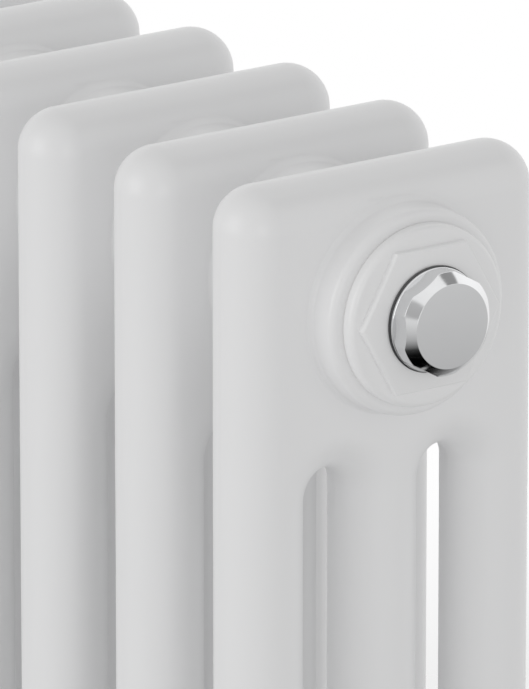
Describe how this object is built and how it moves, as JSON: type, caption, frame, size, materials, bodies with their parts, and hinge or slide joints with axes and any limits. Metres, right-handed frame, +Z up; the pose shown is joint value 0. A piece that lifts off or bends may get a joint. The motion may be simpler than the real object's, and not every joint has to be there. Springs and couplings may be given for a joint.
{
  "type": "column radiator with valves",
  "caption": "Free-standing tubular steel column radiator on slip-on feet, with a thermostatic valve, a lockshield valve, a bleed valve and a blanking plug.",
  "frame": {"origin": "on the floor, midway between the four floor screw holes of the two feet", "axes": "+X along the row of sections to the end with the blanking plug and thermostatic valve, +Y from the room side to the wall, +Z up"},
  "size_m": [0.5241, 0.15, 0.7],
  "materials": {
    "radiator_enamel": "smooth satin white stove enamel on welded steel",
    "bush_enamel": "satin white enamel on a machined bush",
    "foot_enamel": "white powder coat with a slight orange peel",
    "plug_chrome": "bright chrome, face turned flat",
    "valve_chrome": "chrome plate on cast and turned brass",
    "brass": "turned brass",
    "spring_steel": "bright drawn wire",
    "zinc_steel": "zinc plate",
    "seal_rubber": "black sealing rubber",
    "white_plastic": "white moulded plastic, fine spark texture",
    "sensor_plastic": "grey moulded housing of the liquid sensor"
  },
  "bodies": {
    "radiator": {"blanking_plug": "plug_chrome", "bush_bottom_left": "bush_enamel", "bush_bottom_right": "bush_enamel", "bush_gaskets": "white_plastic", "bush_top_left": "bush_enamel", "bush_top_right": "bush_enamel", "foot_left": "foot_enamel", "foot_nuts": "zinc_steel", "foot_right": "foot_enamel", "foot_u_bolts": "zinc_steel", "head_base": "white_plastic", "head_collar": "valve_chrome", "lockshield_body": "valve_chrome", "lockshield_bonnet": "brass", "lockshield_compression_nut": "valve_chrome", "lockshield_olive": "brass", "lockshield_tail": "valve_chrome", "lockshield_union_nut": "valve_chrome", "plug_seals": "seal_rubber", "section_1_bottom_head": "radiator_enamel", "section_1_top_head": "radiator_enamel", "section_1_tubes": "radiator_enamel", "section_2_bottom_head": "radiator_enamel", "section_2_top_head": "radiator_enamel", "section_2_tubes": "radiator_enamel", "section_3_bottom_head": "radiator_enamel", "section_3_top_head": "radiator_enamel", "section_3_tubes": "radiator_enamel", "section_4_bottom_head": "radiator_enamel", "section_4_top_head": "radiator_enamel", "section_4_tubes": "radiator_enamel", "section_5_bottom_head": "radiator_enamel", "section_5_top_head": "radiator_enamel", "section_5_tubes": "radiator_enamel", "section_6_bottom_head": "radiator_enamel", "section_6_top_head": "radiator_enamel", "section_6_tubes": "radiator_enamel", "section_7_bottom_head": "radiator_enamel", "section_7_top_head": "radiator_enamel", "section_7_tubes": "radiator_enamel", "section_8_bottom_head": "radiator_enamel", "section_8_top_head": "radiator_enamel", "section_8_tubes": "radiator_enamel", "valve_body": "valve_chrome", "valve_compression_nut": "valve_chrome", "valve_gland_nut": "brass", "valve_insert": "brass", "valve_olive": "brass", "valve_spring": "spring_steel", "valve_tail": "valve_chrome", "valve_union_nut": "valve_chrome", "vent_body": "plug_chrome"},
    "knob": {"head_knob": "white_plastic"},
    "plunger": {"head_sensor": "sensor_plastic", "valve_pin": "brass"},
    "lockshield_spindle": {"lockshield_spindle": "brass"},
    "lockshield_plug": {"lockshield_plug": "brass"},
    "lockshield_cap": {"lockshield_cap": "white_plastic"},
    "vent_screw": {"vent_screw": "brass"}
  },
  "joints": [
    {"name": "knob_turn", "type": "hinge", "parent": "radiator", "child": "knob", "pos_m": [0.2434, 0, 0.2085], "axis": [0, 0, 1], "range_deg": [-300, 0]},
    {"name": "plunger_slide", "type": "slide", "parent": "radiator", "child": "plunger", "axis": [0, 0, 1], "range_m": [-0.0024, 0], "deforming": ["valve_spring"]},
    {"name": "lockshield_turn", "type": "hinge", "parent": "radiator", "child": "lockshield_spindle", "pos_m": [-0.2434, 0, 0.1585], "axis": [0, 0, 1], "range_deg": [-720, 0]},
    {"name": "lockshield_plug_slide", "type": "slide", "parent": "radiator", "child": "lockshield_plug", "axis": [0, 0, 1], "range_m": [-0.003, 0]},
    {"name": "lockshield_cap_lift", "type": "slide", "parent": "radiator", "child": "lockshield_cap", "axis": [0, 0, 1], "range_m": [0, 0.03]},
    {"name": "vent_screw_turn", "type": "hinge", "parent": "radiator", "child": "vent_screw", "pos_m": [-0.1964, 0, 0.6615], "axis": [-1, 0, 0], "range_deg": [0, 360]}
  ],
  "couplings": [
    {"joint": "plunger_slide", "follows": "knob_turn", "m_per_rad": 0.00045836},
    {"joint": "lockshield_turn", "follows": "lockshield_plug_slide", "rad_per_m": 4188.7}
  ]
}
